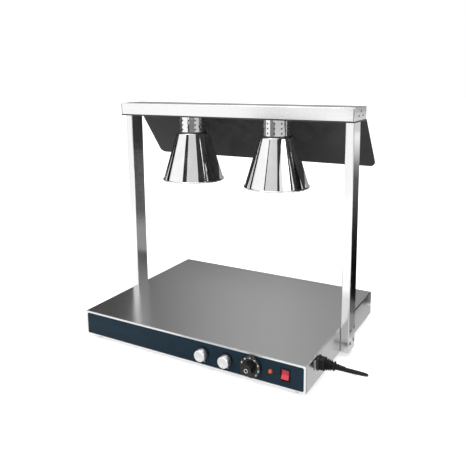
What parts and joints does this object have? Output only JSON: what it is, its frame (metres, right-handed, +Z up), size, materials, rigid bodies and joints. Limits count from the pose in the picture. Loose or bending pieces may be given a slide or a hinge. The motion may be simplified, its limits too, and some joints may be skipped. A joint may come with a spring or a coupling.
{
  "type": "heated buffet station",
  "caption": "Countertop heated serving base with two chrome heat lamps under a bar on side uprights, a smoked guard, and knobs, pilot lamp and switch on a dark blue panel",
  "frame": {"origin": "on the surface that the feet stand on, under the middle of the station's width and depth, measured without the mains lead", "axes": "X along the width, from the lamp knobs' side towards the switch's side; Y from the front controls towards the back; Z up"},
  "size_m": [0.7857, 0.6462, 0.636],
  "materials": {
    "top_steel": "stainless sheet with a fine brushed grain",
    "panel_steel": "stainless sheet with a fine brushed grain",
    "upright_steel": "stainless tube, brushed along its length, nearly mirror bright",
    "bar_steel": "stainless sheet, brushed along its length",
    "lamp_chrome": "polished, mirror bright",
    "knob_chrome": "turned, with a spun face",
    "screw_steel": "bright steel fastener",
    "zinc_steel": "zinc-coated sheet",
    "overlay_film": "dark blue printed film, satin",
    "foot_rubber": "matte",
    "silicone_mat": "matte silicone rubber",
    "plate_aluminium": "mill",
    "insulation_fibre": "fibre board",
    "ceramic_white": "glazed ceramic and pale moulding",
    "copper_tube": "drawn copper",
    "spindle_brass": "turned",
    "nut_brass": "plated brass",
    "knob_black": "glossy moulded plastic",
    "inlay_bright": "bright turned ring",
    "black_plastic": "fine-grained moulded plastic",
    "pilot_orange": "glossy tinted lens",
    "rocker_red": "glossy tinted plastic",
    "wire_sleeve": "matte silicone sleeve",
    "guard_smoke": "smoked clear sheet, very dark and glossy",
    "bulb_glass": "frosted face, mirrored bowl",
    "cord_black": "soft black moulding and sheath"
  },
  "bodies": {
    "station": {"top_shell": "top_steel", "front_panel": "panel_steel", "control_overlay": "overlay_film", "back_panel": "panel_steel", "back_screws": "screw_steel", "bottom_cover": "panel_steel", "corner_brackets": "zinc_steel", "feet": "foot_rubber", "foot_screws": "screw_steel", "heating_mat": "silicone_mat", "press_plate": "plate_aluminium", "insulation_board": "insulation_fibre", "element_tray": "zinc_steel", "tray_studs": "screw_steel", "tray_nuts": "screw_steel", "thermal_cutout": "ceramic_white", "thermostat_body": "zinc_steel", "thermostat_sensor": "copper_tube", "dimmer_bodies": "black_plastic", "panel_nuts": "nut_brass", "pilot_body": "black_plastic", "pilot_lens": "pilot_orange", "rocker_housing": "black_plastic", "mains_inlet": "black_plastic", "inlet_pins": "nut_brass", "fuse_drawer": "black_plastic", "terminal_block": "ceramic_white", "base_loom": "wire_sleeve", "lamp_wires": "wire_sleeve", "uprights": "upright_steel", "backing_plates": "zinc_steel", "upright_screws": "screw_steel", "bar_housing": "bar_steel", "bar_bottom": "bar_steel", "end_plates": "zinc_steel", "end_caps": "bar_steel", "end_cap_screws": "screw_steel", "bar_screws": "screw_steel", "guard": "guard_smoke", "guard_screws": "screw_steel", "lamp_nipples": "nut_brass", "nipple_nuts": "screw_steel", "lamp_necks": "lamp_chrome", "lamp_holders": "ceramic_white", "bulb_caps": "nut_brass", "bulb_glasses": "bulb_glass", "lamp_shades": "lamp_chrome", "mains_connector": "cord_black", "cord_free": "cord_black", "cord_coil": "cord_black", "mains_plug": "cord_black"},
    "left_dimmer": {"left_spindle": "spindle_brass", "left_lamp_knob": "knob_chrome"},
    "right_dimmer": {"right_spindle": "spindle_brass", "right_lamp_knob": "knob_chrome"},
    "thermostat": {"thermostat_spindle": "spindle_brass", "thermostat_dial": "knob_black", "thermostat_knob": "knob_black", "knob_inlay": "inlay_bright"},
    "rocker": {"rocker_button": "rocker_red"}
  },
  "joints": [
    {"name": "left_dimmer_turn", "type": "hinge", "parent": "station", "child": "left_dimmer", "pos_m": [0.056, -0.237, 0.047], "axis": [0, 1, 0], "range_deg": [0, 270]},
    {"name": "right_dimmer_turn", "type": "hinge", "parent": "station", "child": "right_dimmer", "pos_m": [0.122, -0.237, 0.047], "axis": [0, 1, 0], "range_deg": [0, 270]},
    {"name": "thermostat_turn", "type": "hinge", "parent": "station", "child": "thermostat", "pos_m": [0.188, -0.237, 0.047], "axis": [0, 1, 0], "range_deg": [0, 270]},
    {"name": "rocker_tip", "type": "hinge", "parent": "station", "child": "rocker", "pos_m": [0.274, -0.234, 0.047], "axis": [1, 0, 0], "range_deg": [0, 24]}
  ]
}
